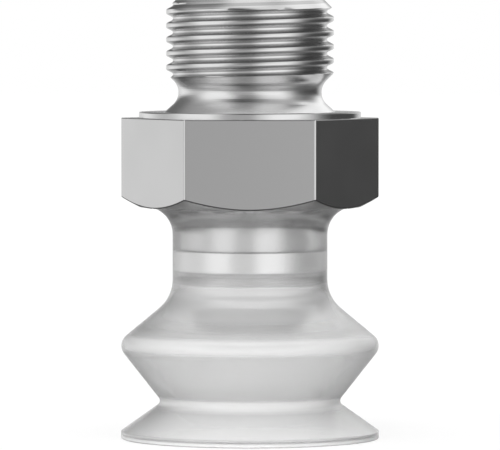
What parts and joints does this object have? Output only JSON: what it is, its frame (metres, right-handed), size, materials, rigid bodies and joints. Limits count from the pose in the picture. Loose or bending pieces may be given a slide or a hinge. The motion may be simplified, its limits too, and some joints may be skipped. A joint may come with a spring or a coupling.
{
  "type": "bellows suction cup",
  "caption": "Vacuum bellows suction cup: translucent one-and-a-half-fold silicone bellows on the barbed nipple of a hexagon fitting with a male pipe thread and an air way.",
  "frame": {"origin": "centre of the lip's underside, where the cup meets the workpiece", "axes": "+Z along the cup's axis from the lip to the thread; a flat of the hexagon faces -Y, two corners lie on the X axis"},
  "size_m": [0.015, 0.015, 0.0255],
  "materials": {
    "plated_metal": "bright nickel-like metal: finely turned round faces, drawn hexagon flats",
    "translucent_silicone": "soft translucent silicone with a satin moulded skin"
  },
  "bodies": {
    "fitting": {"threaded_fitting": "plated_metal", "bellows_collar": "translucent_silicone", "bellows_upper_fold": "translucent_silicone"},
    "fold_crest": {"bellows_crest": "translucent_silicone", "bellows_lower_fold": "translucent_silicone"},
    "waist": {"bellows_waist": "translucent_silicone"},
    "lip": {"bellows_lip_skirt": "translucent_silicone", "bellows_lip_rim": "translucent_silicone"}
  },
  "joints": [
    {"name": "bellows_stroke", "type": "slide", "parent": "fitting", "child": "fold_crest", "axis": [0, 0, 1], "range_m": [0, 0.0018], "stiffness_N_per_m": 2100, "deforming": ["bellows_upper_fold"]},
    {"name": "lower_fold_stroke", "type": "slide", "parent": "fold_crest", "child": "waist", "axis": [0, 0, 1], "range_m": [0, 0.00135], "deforming": ["bellows_lower_fold"]},
    {"name": "lip_tilt", "type": "hinge", "parent": "waist", "child": "lip", "pos_m": [0, 0, 0.00216], "axis": [1, 0, 0], "range_deg": [-8, 8], "stiffness_Nm_per_rad": 0.03, "deforming": ["bellows_lip_skirt"]}
  ],
  "couplings": [
    {"joint": "lower_fold_stroke", "follows": "bellows_stroke", "ratio": 0.75}
  ]
}
